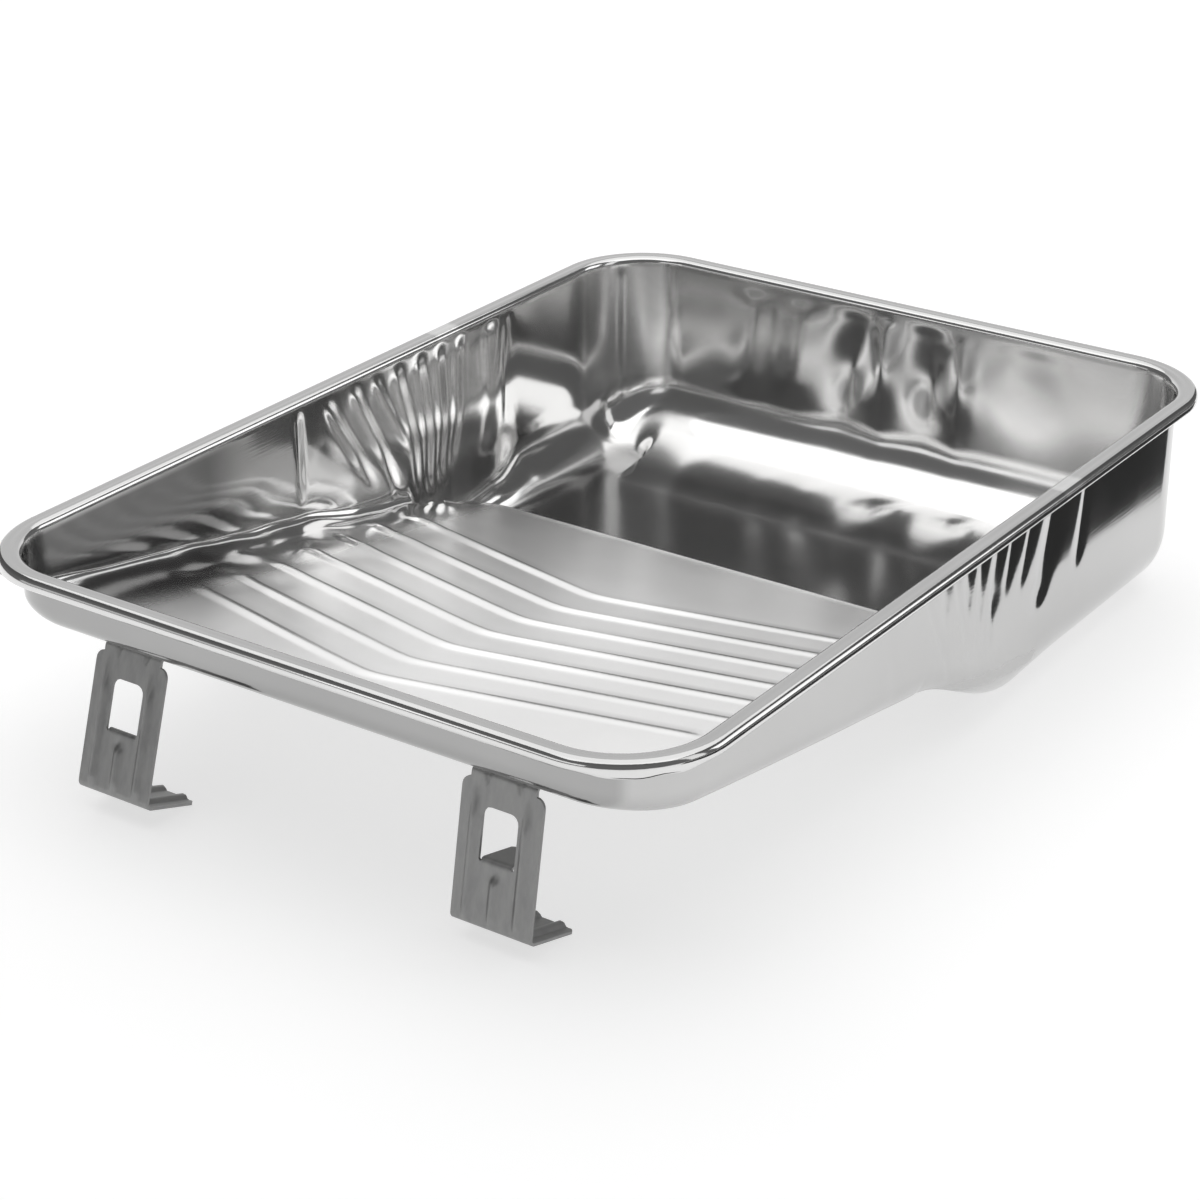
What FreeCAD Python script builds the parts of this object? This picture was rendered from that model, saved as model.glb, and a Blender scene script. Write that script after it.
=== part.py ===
"""Metal paint roller tray: a pressed sheet pan with two stamped legs welded under its shallow end.

Frame: +X across the tray, +Y towards the deep end, +Z up. The origin is on the surface that
the tray stands on, under the middle of its rim.
"""
import FreeCAD, Part
import Sketcher
import math
import os

DRIVING_DIMENSIONS = [
    ("tray_length", 392.0, "over the rim, front to back"),
    ("tray_width", 280.0, "over the rim, side to side"),
    ("tray_height", 80.5, "top of the rim above the surface"),
    ("sheet", 0.4, "thickness of the pan's sheet"),
    ("rim_overhang", 8.3, "rim's outer edge to the wall's outer face"),
    ("rim_corner", 38.0, "rim corner radius in plan"),
    ("rim_bend", 2.8, "bend from the wall into the flange"),
    ("lip_bend", 1.5, "bend from the flange into the lip"),
    ("lip_height", 4.5, "flange top to the lip's lower edge"),
    ("wall_joint", 8.0, "flange top to the height where the wall becomes rim"),
    ("front_depth", 21.6, "flange top to the ramp's underside at the front wall"),
    ("ramp_angle", 9.93, "fall of the ramp, in degrees"),
    ("ramp_end", 57.5, "back edge of the ramp, behind the middle"),
    ("step_run", 7.5, "horizontal run of the step from the ramp to the well"),
    ("step_top_bend", 4.0, "bend at the ramp's back edge"),
    ("step_foot_bend", 10.5, "bend at the foot of the step"),
    ("side_cove", 9.5, "bottom radius along the front and sides"),
    ("back_cove", 26.0, "bottom radius along the back of the well"),
    ("rib_count", 7, "wiping ribs"),
    ("rib_pitch", 21.4, "spacing of the ribs along the ramp"),
    ("rib_first", -12.5, "apex of the deepest rib, from the middle"),
    ("rib_apex", -9.0, "sideways place of the ribs' apexes"),
    ("rib_span", 110.0, "half the width that a rib crosses"),
    ("rib_left_rake", 0.275, "rise of a rib's left arm per unit across"),
    ("rib_right_rake", 0.328, "rise of a rib's right arm per unit across"),
    ("rib_width", 3.6, "width of a rib"),
    ("rib_height", 1.3, "height of a rib above the ramp"),
    ("leg_sheet", 1.0, "thickness of the legs' strip"),
    ("leg_width", 30.3, "width of a leg"),
    ("leg_spacing", 149.9, "between the legs' middles"),
    ("leg_length", 44.0, "shoulder to heel"),
    ("shoulder_inset", 14.7, "rim's outer edge to a leg's shoulder"),
    ("shoulder_height", 50.5, "height of a leg's shoulder"),
    ("left_tilt", 17.7, "forward lean of the left leg, in degrees"),
    ("right_tilt", 10.3, "forward lean of the right leg, in degrees"),
    ("neck_relief", 3.0, "how much narrower each side of the neck is"),
    ("flange_length", 26.0, "leg's flange under the ramp"),
    ("foot_length", 25.0, "heel to toe"),
    ("heel_bend", 2.5, "outer radius of the heel"),
    ("neck_bend", 2.0, "outer radius of the bend under the ramp"),
    ("window_width", 13.2, "window in the leg"),
    ("window_top", 4.4, "shoulder to the window's top, along the leg"),
    ("window_height", 18.0, "window's height along the leg"),
    ("window_corner", 3.0, "radius of the window's top corners"),
    ("left_tab_drop", 42.0, "fall of the left leg's tab, in degrees"),
    ("right_tab_drop", 10.0, "fall of the right leg's tab, in degrees"),
    ("tab_length", 15.2, "tab bent back from the window's lower edge"),
    ("tab_width", 11.0, "tab's width"),
    ("weld_gap", 0.3, "height of a projection weld, between flange and ramp"),
    ("weld_diameter", 5.0, "projection weld"),
    ("weld_spread", 13.0, "between a leg's two welds"),
    ("weld_setback", 13.0, "bend line to the welds, along the flange"),
]

TOLERANCE = 0.01

document = FreeCAD.newDocument("paint_roller_tray")
sheet = document.addObject("Spreadsheet::Sheet", "Sizes")


class Size:
    """A number together with the expression that ties it to the spreadsheet."""

    def __init__(self, value, text):
        self.value = float(value)
        self.text = text

    def combine(self, other, sign, result):
        return Size(result, f"({self.text} {sign} {as_size(other).text})")

    def __add__(self, other):
        return self.combine(other, "+", self.value + as_size(other).value)

    def __sub__(self, other):
        return self.combine(other, "-", self.value - as_size(other).value)

    def __mul__(self, other):
        return self.combine(other, "*", self.value * as_size(other).value)

    def __truediv__(self, other):
        return self.combine(other, "/", self.value / as_size(other).value)

    def __neg__(self):
        return as_size(0) - self


def as_size(item):
    return item if isinstance(item, Size) else Size(item, str(item))


def sine(angle):
    return Size(math.sin(math.radians(angle.value)), f"sin({angle.text})")


def cosine(angle):
    return Size(math.cos(math.radians(angle.value)), f"cos({angle.text})")


def tangent(angle):
    return Size(math.tan(math.radians(angle.value)), f"tan({angle.text})")


def arc_sine(ratio):
    degrees = math.degrees(math.asin(ratio.value))
    return Size(degrees, f"(asin({ratio.text}) / 1deg)")


def fill_sheet():
    """Writes the driving dimensions into the sheet and returns them by name."""
    sizes = {}
    for row, (name, value, note) in enumerate(DRIVING_DIMENSIONS, start=1):
        sheet.set(f"A{row}", name)
        sheet.set(f"B{row}", str(value))
        sheet.set(f"C{row}", note)
        sheet.setAlias(f"B{row}", name)
        sizes[name] = Size(value, f"Sizes.{name}")
    document.recompute()
    return sizes


def bind(item, target, size):
    """Sets one property or constraint of an object from the sheet."""
    item.setExpression(target, as_size(size).text)


def new_body(label):
    body = document.addObject("PartDesign::Body", label)
    body.Label = label
    return body


def turned_about_x():
    """A placement with its axis along X, so that only its angle is left to bind."""
    return FreeCAD.Placement(FreeCAD.Vector(), FreeCAD.Rotation(FreeCAD.Vector(1, 0, 0), 1))


def new_sketch(body, name, role, offset=None, turn=None):
    """A sketch on one of its body's origin planes, which may be shifted and turned about X."""
    sketch = body.newObject("Sketcher::SketchObject", name)
    plane = [item for item in body.Origin.OriginFeatures if item.Role == role][0]
    sketch.AttachmentSupport = [(plane, "")]
    sketch.MapMode = "FlatFace"
    for axis, size in zip("xyz", offset or ()):
        bind(sketch, f"AttachmentOffset.Base.{axis}", size)
    if turn is not None:
        sketch.AttachmentOffset = turned_about_x()
        bind(sketch, "AttachmentOffset.Rotation.Angle", turn)
    return sketch


def point(corner):
    return FreeCAD.Vector(as_size(corner[0]).value, as_size(corner[1]).value, 0)


def arc_between(start, end, radius, side):
    """The short arc from start to end; side is 1 where it turns left and -1 where it turns right."""
    chord = end - start
    rise = math.sqrt(max(radius ** 2 - (chord.Length / 2) ** 2, 0))
    normal = FreeCAD.Vector(-chord.y, chord.x, 0).normalize()
    centre = (start + end) * 0.5 + normal * rise * side
    first, last = (start, end) if side > 0 else (end, start)
    angles = [math.atan2(place.y - centre.y, place.x - centre.x) for place in (first, last)]
    circle = Part.Circle(centre, FreeCAD.Vector(0, 0, 1), radius)
    return Part.ArcOfCircle(circle, angles[0], angles[1])


def draw_outline(sketch, corners, bends=None):
    """Draws a closed outline through the corners and holds each at its place from the sheet.

    bends gives, by the number of the corner where it starts, the radius and side of each arc.
    """
    bends = bends or {}
    count = len(corners)
    ends = []
    first = sketch.GeometryCount
    for index in range(count):
        start = point(corners[index])
        end = point(corners[(index + 1) % count])
        if index in bends:
            radius, side = bends[index]
            number = sketch.addGeometry(arc_between(start, end, radius.value, side), False)
            sketch.addConstraint(Sketcher.Constraint("Radius", number, radius.value))
            bind(sketch, f"Constraints[{sketch.ConstraintCount - 1}]", radius)
            ends.append((1, 2) if side > 0 else (2, 1))
        else:
            sketch.addGeometry(Part.LineSegment(start, end), False)
            ends.append((1, 2))
    for index in range(count):
        following = (index + 1) % count
        joint = (first + index, ends[index][1], first + following, ends[following][0])
        sketch.addConstraint(Sketcher.Constraint("Coincident", *joint))
    for index, corner in enumerate(corners):
        for kind, place in zip(("DistanceX", "DistanceY"), corner):
            held = Sketcher.Constraint(kind, -1, 1, first + index, ends[index][0], as_size(place).value)
            number = sketch.addConstraint(held)
            bind(sketch, f"Constraints[{number}]", place)


def add_pad(body, name, sketch, length, midplane=False):
    pad = body.newObject("PartDesign::Pad", name)
    pad.Profile = sketch
    bind(pad, "Length", length)
    if midplane:
        pad.SideType = "Symmetric"
    document.recompute()
    return pad


def add_through_pocket(body, name, sketch):
    """Cuts the sketch out of the whole body, both ways from its plane."""
    pocket = body.newObject("PartDesign::Pocket", name)
    pocket.Profile = sketch
    pocket.Type = "ThroughAll"
    pocket.SideType = "Symmetric"
    document.recompute()
    return pocket


def edges_where(shape, wanted):
    return [f"Edge{number}" for number, edge in enumerate(shape.Edges, start=1) if wanted(edge)]


def add_fillet(body, name, base, wanted, radius):
    fillet = body.newObject("PartDesign::Fillet", name)
    fillet.Base = (base, edges_where(base.Shape, wanted))
    bind(fillet, "Radius", radius)
    document.recompute()
    return fillet


def passes(edge, place):
    """True for a straight edge along X through the place, given as (y, z)."""
    box = edge.BoundBox
    if box.YLength > TOLERANCE or box.ZLength > TOLERANCE:
        return False
    return math.hypot(box.YMin - place[0].value, box.ZMin - place[1].value) < TOLERANCE


size = fill_sheet()
half_length = size["tray_length"] / 2
half_width = size["tray_width"] / 2
wall_half_length = half_length - size["rim_overhang"]
wall_half_width = half_width - size["rim_overhang"]
wall_corner = size["rim_corner"] - size["rim_overhang"]
joint_height = size["tray_height"] - size["wall_joint"]
ramp_fall = tangent(size["ramp_angle"])
ramp_front_height = size["tray_height"] - size["front_depth"]
shoulder = (size["shoulder_inset"] - half_length, size["shoulder_height"])


def ramp_height(place):
    """Height of the ramp's underside at a place along Y."""
    return ramp_front_height - (wall_half_length + place) * ramp_fall


def under_ramp(tilt):
    """Where a leg that leans by tilt bends back under the ramp, a weld's gap below it."""
    lean = tangent(tilt)
    gap = size["weld_gap"] / cosine(size["ramp_angle"])
    rise = (ramp_height(shoulder[0]) - gap - shoulder[1]) / (lean * ramp_fall + 1)
    return (shoulder[0] + rise * lean, shoulder[1] + rise)


def build_pan():
    """The pan: a trough whose bottom bend widens towards the back, shelled, with its rim and ribs."""
    block = build_block()
    cove = document.addObject("Part::Fillet", "cove")
    cove.Base = block
    cove.Edges = cove_edges(block.Shape)
    document.recompute()
    shell = document.addObject("Part::Thickness", "pressed_sheet")
    top = [f"Face{number}" for number, face in enumerate(cove.Shape.Faces, start=1)
           if face.BoundBox.ZMin > joint_height.value - TOLERANCE]
    shell.Faces = (cove, top)
    shell.Mode = 0
    shell.Join = 0
    bind(shell, "Value", -size["sheet"])
    pan = document.addObject("Part::MultiFuse", "tray_pan")
    pan.Label = "tray_pan"
    pan.Shapes = [shell, build_rim(), build_ribs()]
    document.recompute()
    return pan


def build_block():
    """The trough as a full block, before its bottom bend is rounded and it is hollowed."""
    body = new_body("trough_block")
    step_top = (size["ramp_end"], ramp_height(size["ramp_end"]))
    step_foot = (size["ramp_end"] + size["step_run"], as_size(0))
    profile = new_sketch(body, "side_profile", "YZ_Plane")
    draw_outline(profile, [
        (-wall_half_length, joint_height),
        (-wall_half_length, ramp_front_height),
        step_top,
        step_foot,
        (wall_half_length, as_size(0)),
        (wall_half_length, joint_height),
    ])
    trough = add_pad(body, "trough", profile, wall_half_width * 2, midplane=True)
    corners = add_fillet(body, "wall_corners", trough, is_wall_corner, wall_corner)
    step_edge = add_fillet(body, "step_edge", corners, lambda edge: passes(edge, step_top),
                           size["step_top_bend"])
    add_fillet(body, "step_bend", step_edge, lambda edge: passes(edge, step_foot), size["step_foot_bend"])
    return body


def is_wall_corner(edge):
    box = edge.BoundBox
    return box.XLength < TOLERANCE and box.YLength < TOLERANCE and box.ZLength > 1


def is_bottom_edge(edge):
    """True along the lower end of the walls: below the joint, and not across the tray's bottom."""
    box = edge.BoundBox
    if box.ZMax > joint_height.value - TOLERANCE:
        return False
    on_side = abs(abs(box.Center.x) - wall_half_width.value) < TOLERANCE and box.XLength < TOLERANCE
    on_end = abs(abs(box.Center.y) - wall_half_length.value) < TOLERANCE and box.YLength < TOLERANCE
    in_corner = edge.Curve.TypeId in ("Part::GeomCircle", "Part::GeomEllipse") and box.XLength > 5
    return on_side or on_end or in_corner


def cove_edges(shape):
    """The walls' lower edges, each with the bend's radius at its two ends."""
    chosen = []
    for number, edge in enumerate(shape.Edges, start=1):
        if is_bottom_edge(edge):
            ends = [edge.valueAt(edge.FirstParameter), edge.valueAt(edge.LastParameter)]
            chosen.append((number, *[cove_radius(place) for place in ends]))
    return chosen


def cove_radius(place):
    """The bend is tight along the front and sides, and widens round the back corners."""
    at_back = abs(place.y - wall_half_length.value) < TOLERANCE
    return size["back_cove"].value if at_back else size["side_cove"].value


def build_rim():
    """The flange and lip, swept once round the wall."""
    body = new_body("rim_band")
    path = new_sketch(body, "rim_path", "XY_Plane", offset=(0, 0, joint_height))
    straight_x = wall_half_width - wall_corner
    straight_y = wall_half_length - wall_corner
    draw_outline(path, [
        (wall_half_width, as_size(0)),
        (wall_half_width, straight_y),
        (straight_x, wall_half_length),
        (-straight_x, wall_half_length),
        (-wall_half_width, straight_y),
        (-wall_half_width, -straight_y),
        (-straight_x, -wall_half_length),
        (straight_x, -wall_half_length),
        (wall_half_width, -straight_y),
    ], {corner: (wall_corner, 1) for corner in (1, 3, 5, 7)})
    section = new_sketch(body, "rim_section", "XZ_Plane")
    top = size["tray_height"]
    under = top - size["sheet"]
    bend_across = wall_half_width - size["sheet"] + size["rim_bend"]
    bend_height = top - size["rim_bend"]
    lip_across = half_width - size["lip_bend"]
    lip_bend_height = top - size["lip_bend"]
    lip_inside = half_width - size["sheet"]
    lip_foot = top - size["lip_height"]
    draw_outline(section, [
        (wall_half_width - size["sheet"], joint_height),
        (wall_half_width - size["sheet"], bend_height),
        (bend_across, top),
        (lip_across, top),
        (half_width, lip_bend_height),
        (half_width, lip_foot),
        (lip_inside, lip_foot),
        (lip_inside, lip_bend_height),
        (lip_across, under),
        (bend_across, under),
        (wall_half_width, bend_height),
        (wall_half_width, joint_height),
    ], {
        1: (size["rim_bend"], -1),
        3: (size["lip_bend"], -1),
        7: (size["lip_bend"] - size["sheet"], 1),
        9: (size["rim_bend"] - size["sheet"], 1),
    })
    rim = body.newObject("PartDesign::AdditivePipe", "rim")
    rim.Profile = section
    rim.Spine = (path, [f"Edge{number}" for number in range(1, path.GeometryCount + 1)])
    document.recompute()
    return body


def build_ribs():
    """Chevron ribs across the ramp, apex towards the shallow end."""
    body = new_body("wiping_ribs")
    plane_height = ramp_height(as_size(0)) + size["sheet"] / cosine(size["ramp_angle"])
    sketch = new_sketch(body, "rib_outline", "XY_Plane", (0, 0, plane_height), -size["ramp_angle"])
    apex = (size["rib_apex"], size["rib_first"])
    left = size["rib_first"] + (size["rib_span"] + size["rib_apex"]) * size["rib_left_rake"]
    right = size["rib_first"] + (size["rib_span"] - size["rib_apex"]) * size["rib_right_rake"]
    draw_outline(sketch, [
        (-size["rib_span"], left),
        apex,
        (size["rib_span"], right),
        (size["rib_span"], right + size["rib_width"]),
        (apex[0], apex[1] + size["rib_width"]),
        (-size["rib_span"], left + size["rib_width"]),
    ])
    rib = add_pad(body, "rib", sketch, size["rib_height"])
    row = body.newObject("PartDesign::LinearPattern", "rib_row")
    row.Originals = [rib]
    row.Direction = (sketch, ["V_Axis"])
    row.Reversed = True
    bind(row, "Length", size["rib_pitch"] * (size["rib_count"] - 1))
    bind(row, "Occurrences", size["rib_count"])
    body.Tip = row
    document.recompute()
    return body


def build_leg(label, side, tilt, tab_drop):
    """One stamped leg: flange under the ramp, neck, windowed leg with its tab, heel and foot."""
    body = new_body(label)
    bend = under_ramp(tilt)
    heel = (shoulder[0] - size["leg_length"] * sine(tilt), shoulder[1] - size["leg_length"] * cosine(tilt))
    foot_angle = arc_sine(heel[1] / size["foot_length"])
    strip = size["leg_sheet"]
    inner_heel = inner_corner(heel, -foot_angle, as_size(90) - tilt, strip)
    inner_bend = inner_corner(bend, as_size(270) - tilt, -size["ramp_angle"], strip)
    section = new_sketch(body, f"{label}_section", "YZ_Plane")
    draw_outline(section, [
        along(bend, -size["ramp_angle"], size["flange_length"]),
        bend,
        heel,
        along(heel, -foot_angle, size["foot_length"]),
        along(heel, -foot_angle, size["foot_length"], strip),
        inner_heel,
        inner_bend,
        along(bend, -size["ramp_angle"], size["flange_length"], -strip),
    ])
    strap = add_pad(body, f"{label}_strap", section, size["leg_width"], midplane=True)
    outer = add_fillet(body, f"{label}_heel", strap, lambda edge: passes(edge, heel), size["heel_bend"])
    outer = add_fillet(body, f"{label}_heel_inside", outer, lambda edge: passes(edge, inner_heel),
                       size["heel_bend"] - strip)
    outer = add_fillet(body, f"{label}_neck", outer, lambda edge: passes(edge, bend), size["neck_bend"])
    add_fillet(body, f"{label}_neck_inside", outer, lambda edge: passes(edge, inner_bend),
               size["neck_bend"] - strip)
    cut_leg(body, label, tilt)
    add_tab(body, label, tilt, tab_drop)
    bind(body, "Placement.Base.x", size["leg_spacing"] * (side / 2))
    return body


def along(start, angle, distance, lift=0):
    """The place at a distance from start at an angle, lifted square to that direction."""
    lift = as_size(lift)
    return (start[0] + cosine(angle) * distance - sine(angle) * lift,
            start[1] + sine(angle) * distance + cosine(angle) * lift)


def inner_corner(corner, first_angle, second_angle, strip):
    """The inside corner of a strip that leaves a corner at the two angles."""
    half_opening = (second_angle - first_angle) / 2
    middle = (second_angle + first_angle) / 2
    distance = strip / sine(half_opening)
    return (corner[0] + cosine(middle) * distance, corner[1] + sine(middle) * distance)


def cut_leg(body, label, tilt):
    """Narrows the neck above the shoulders and opens the window."""
    half = size["leg_width"] / 2
    neck = half - size["neck_relief"]
    clear = half + 1
    above = size["tray_height"]
    relief = new_sketch(body, f"{label}_relief", "XZ_Plane")
    for side in (-1, 1):
        draw_outline(relief, [
            (neck * side, shoulder[1]),
            (clear * side, shoulder[1]),
            (clear * side, above),
            (neck * side, above),
        ])
    add_through_pocket(body, f"{label}_relief_cut", relief)
    upright = cosine(tilt)
    top = shoulder[1] - size["window_top"] * upright
    foot = top - size["window_height"] * upright
    edge = size["window_width"] / 2
    corner = size["window_corner"]
    window = new_sketch(body, f"{label}_window", "XZ_Plane")
    draw_outline(window, [
        (-edge, foot),
        (edge, foot),
        (edge, top - corner),
        (edge - corner, top),
        (corner - edge, top),
        (-edge, top - corner),
    ], {2: (corner, 1), 4: (corner, 1)})
    add_through_pocket(body, f"{label}_window_cut", window)


def add_tab(body, label, tilt, drop):
    """The tab that the window was cut from, bent back at the window's lower edge."""
    down = size["window_top"] + size["window_height"]
    root = (shoulder[0] - down * sine(tilt), shoulder[1] - down * cosine(tilt))
    sketch = new_sketch(body, f"{label}_tab_section", "YZ_Plane")
    strip = size["leg_sheet"]
    draw_outline(sketch, [
        along(root, -drop, as_size(0), -strip),
        along(root, -drop, size["tab_length"], -strip),
        along(root, -drop, size["tab_length"]),
        along(root, -drop, as_size(0)),
    ])
    add_pad(body, f"{label}_tab", sketch, size["tab_width"], midplane=True)


def build_welds(label, side, tilt):
    """The projection welds between one leg's flange and the ramp, as two small discs."""
    place = along(under_ramp(tilt), -size["ramp_angle"], size["weld_setback"])
    discs = []
    for number, across in enumerate((-0.5, 0.5), start=1):
        disc = document.addObject("Part::Cylinder", f"{label}_disc_{number}")
        disc.Placement = turned_about_x()
        bind(disc, "Radius", size["weld_diameter"] / 2)
        bind(disc, "Height", size["weld_gap"])
        bind(disc, "Placement.Base.x", size["weld_spread"] * across)
        bind(disc, "Placement.Base.y", place[0])
        bind(disc, "Placement.Base.z", place[1])
        bind(disc, "Placement.Rotation.Angle", -size["ramp_angle"])
        discs.append(disc)
    welds = document.addObject("Part::Compound", label)
    welds.Label = label
    welds.Links = discs
    bind(welds, "Placement.Base.x", size["leg_spacing"] * (side / 2))
    document.recompute()
    return welds


def write_parts(parts):
    """Checks every object and writes each sub-part's shape to its own file."""
    document.recompute()
    for item in document.Objects:
        if {"Invalid", "Error"} & set(item.State):
            raise RuntimeError(f"{item.Label} failed: {item.State}")
    for part in parts:
        if part.Shape.isNull() or not part.Shape.isValid():
            raise RuntimeError(f"{part.Label} has no valid shape")
    os.makedirs("parts", exist_ok=True)
    for part in parts:
        part.Shape.exportStep(f"parts/{part.Label}.step")
        box = part.Shape.BoundBox
        print(part.Label, len(part.Shape.Solids), "solids, volume", round(part.Shape.Volume, 1), "mm3,",
              "x", round(box.XMin, 2), round(box.XMax, 2), "y", round(box.YMin, 2), round(box.YMax, 2),
              "z", round(box.ZMin, 2), round(box.ZMax, 2))


write_parts([
    build_pan(),
    build_leg("left_leg", -1, size["left_tilt"], size["left_tab_drop"]),
    build_leg("right_leg", 1, size["right_tilt"], size["right_tab_drop"]),
    build_welds("left_leg_welds", -1, size["left_tilt"]),
    build_welds("right_leg_welds", 1, size["right_tilt"]),
])
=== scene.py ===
import math

import bpy
import numpy as np
from mathutils import Euler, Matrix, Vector
from mathutils.geometry import delaunay_2d_cdt


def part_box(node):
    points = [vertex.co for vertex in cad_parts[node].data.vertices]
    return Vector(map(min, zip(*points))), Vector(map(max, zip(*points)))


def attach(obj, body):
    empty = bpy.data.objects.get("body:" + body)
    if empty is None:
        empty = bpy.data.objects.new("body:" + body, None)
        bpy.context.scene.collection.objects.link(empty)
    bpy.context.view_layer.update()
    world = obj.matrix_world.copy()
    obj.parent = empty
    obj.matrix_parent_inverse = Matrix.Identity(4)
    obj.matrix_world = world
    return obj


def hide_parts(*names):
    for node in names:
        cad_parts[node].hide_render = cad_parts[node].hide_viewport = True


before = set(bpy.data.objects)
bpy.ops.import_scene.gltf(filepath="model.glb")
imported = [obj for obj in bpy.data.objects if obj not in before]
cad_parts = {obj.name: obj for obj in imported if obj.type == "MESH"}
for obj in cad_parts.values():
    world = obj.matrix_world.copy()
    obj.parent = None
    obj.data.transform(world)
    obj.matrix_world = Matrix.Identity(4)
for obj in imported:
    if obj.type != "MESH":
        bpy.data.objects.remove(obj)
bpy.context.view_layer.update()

# Lengths are in millimetres until a mesh is made. The tray's well is at high y, its legs at low y.
MM = 0.001
pan_low, pan_high = (np.array(corner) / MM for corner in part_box("tray_pan"))
HALF_X = (pan_high[0] - pan_low[0]) / 2
HALF_Y = (pan_high[1] - pan_low[1]) / 2
TOP = pan_high[2]
SHEET = 0.4

RAMP_DEPTH = 21.8  # below the rim, at RAMP_START behind the tray's front edge
RAMP_START = 12
RAMP_SLOPE = 0.175
RAMP_TURN = math.atan(RAMP_SLOPE)
RAMP_MIDDLE = TOP - RAMP_DEPTH + RAMP_SLOPE * (RAMP_START - HALF_Y)  # the ramp's height at y 0
RAMP_END = 57.6

OVERHANG = 8.3  # from the wall's line out to the rim's edge
RIM_CORNER = 38.0
WALL_CORNER = RIM_CORNER - OVERHANG
INNER_BEND = 2.8
LIP_BEND = 2.7
FLANGE_OUT = OVERHANG - LIP_BEND
LIP_DROP = 4.3


# ---------------------------------------------------------------- small numeric helpers

def smooth(value, start, end):
    """0 before start, 1 after end, with a soft change between; start may be above end."""
    share = np.clip((np.asarray(value, float) - start) / (end - start), 0, 1)
    return share * share * (3 - 2 * share)


def bump(value, centre, spread):
    """A soft hill of height 1."""
    return np.exp(-((value - centre) / spread) ** 2)


def window(value, low, high, soft):
    """1 from low to high, with a soft change to 0 outside."""
    return smooth(value, low - soft, low) * smooth(value, high + soft, high)


def table(value, places, amounts):
    """Soft interpolation through given places."""
    places = np.asarray(places, float)
    amounts = np.asarray(amounts, float)
    value = np.clip(value, places[0], places[-1])
    index = np.clip(np.searchsorted(places, value) - 1, 0, len(places) - 2)
    share = (value - places[index]) / (places[index + 1] - places[index])
    share = share * share * (3 - 2 * share)
    return amounts[index] * (1 - share) + amounts[index + 1] * share


def lengths_along(points):
    """The distance from the first point to each one, along the line through them."""
    return np.concatenate([[0], np.cumsum(np.linalg.norm(np.diff(points, axis=0), axis=1))])


def polygon_test(points, polygon, chunk=2000):
    """Which points lie inside a polygon, and how far each one is from the nearest of its corners."""
    start = np.asarray(polygon, float)
    end = np.roll(start, -1, axis=0)
    x_a, y_a = start[None, :, 0], start[None, :, 1]
    x_b, y_b = end[None, :, 0], end[None, :, 1]
    inside = np.zeros(len(points), bool)
    near = np.zeros(len(points))
    for first in range(0, len(points), chunk):
        part = points[first:first + chunk]
        crosses = (y_a > part[:, None, 1]) != (y_b > part[:, None, 1])
        with np.errstate(divide="ignore", invalid="ignore"):
            at = x_a + (part[:, None, 1] - y_a) * (x_b - x_a) / (y_b - y_a)
        inside[first:first + chunk] = (crosses & (part[:, None, 0] < at)).sum(axis=1) % 2 == 1
        near[first:first + chunk] = np.linalg.norm(part[:, None, :] - start[None, :, :], axis=2).min(axis=1)
    return inside, near


def triangulate(points, edges):
    """Triangles over flat points that keep the given edges: the points as stored, and the triangles."""
    made = delaunay_2d_cdt([Vector(point) for point in points], edges, [], 1, 1e-6)
    assert len(made[0]) == len(points)
    source = np.array([olds[0] for olds in made[3]])
    stored = np.empty((len(points), 2))
    stored[source] = [tuple(point) for point in made[0]]
    return stored, [[source[corner] for corner in face] for face in made[2]]


def loop_edges(first, count):
    """The edges of a closed loop of count points that starts at number first."""
    return [(first + i, first + (i + 1) % count) for i in range(count)]


# ---------------------------------------------------------------- the trough's floor

RIB_APEX_X = -9.0
RIB_RAKE_LEFT = 0.275
RIB_RAKE_RIGHT = 0.328
RIB_APEX_BEND = 5.0
RIB_FRONT = 4.4
RIB_BACK = 2.6
RIB_HEIGHT = 0.95
RIB_FIRST = -12.0
RIB_PITCH = 21.4
RIB_ROWS = (
    # left end, right end, strength
    (-113.0, 112.0, 1.0),
    (-115.0, 112.0, 1.0),
    (-113.5, 112.0, 1.0),
    (-110.0, 112.0, 1.0),
    (-107.0, 112.0, 1.0),
    (-106.0, 112.0, 0.75),
    (-105.0, 96.0, 0.75),
)
RIBS = [(RIB_FIRST - RIB_PITCH * number, *row) for number, row in enumerate(RIB_ROWS)]

EDGE_CORNER = 26  # radius of the ramp edge's left corner
EDGE_CORNER_X = -96
EDGE_SWEEP = 80  # how far forward the ramp's edge is swept at its right end
BLEND_X = 92  # where the step's right end starts to blend away
STEP_LEAD = 1.2
STEP_RUN = 9
STEP_RUN_RIGHT = 62


def ramp_plane(y):
    return RAMP_MIDDLE - RAMP_SLOPE * y


def chevron(x):
    """How far behind its apex a rib lies at x."""
    off = x - RIB_APEX_X
    soft = np.sqrt(off * off + RIB_APEX_BEND * RIB_APEX_BEND) - RIB_APEX_BEND
    return soft * np.where(off > 0, RIB_RAKE_RIGHT, RIB_RAKE_LEFT)


def rib_height(x, y):
    """The ribs' relief above the ramp; the right arms are pressed less deep."""
    behind = y - chevron(x)
    arm = 1 - 0.5 * smooth(x, 5, 60)
    total = np.zeros_like(behind)
    for crest, left, right, strength in RIBS:
        along = smooth(x, left - 3, left + 5) * smooth(x, right + 3, right - 5)
        off = behind - crest
        across = np.clip(np.where(off > 0, off / RIB_BACK, -off / RIB_FRONT), 0, 1)
        total += RIB_HEIGHT * strength * arm * along * np.cos(across * math.pi / 2) ** 2
    return total


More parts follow.
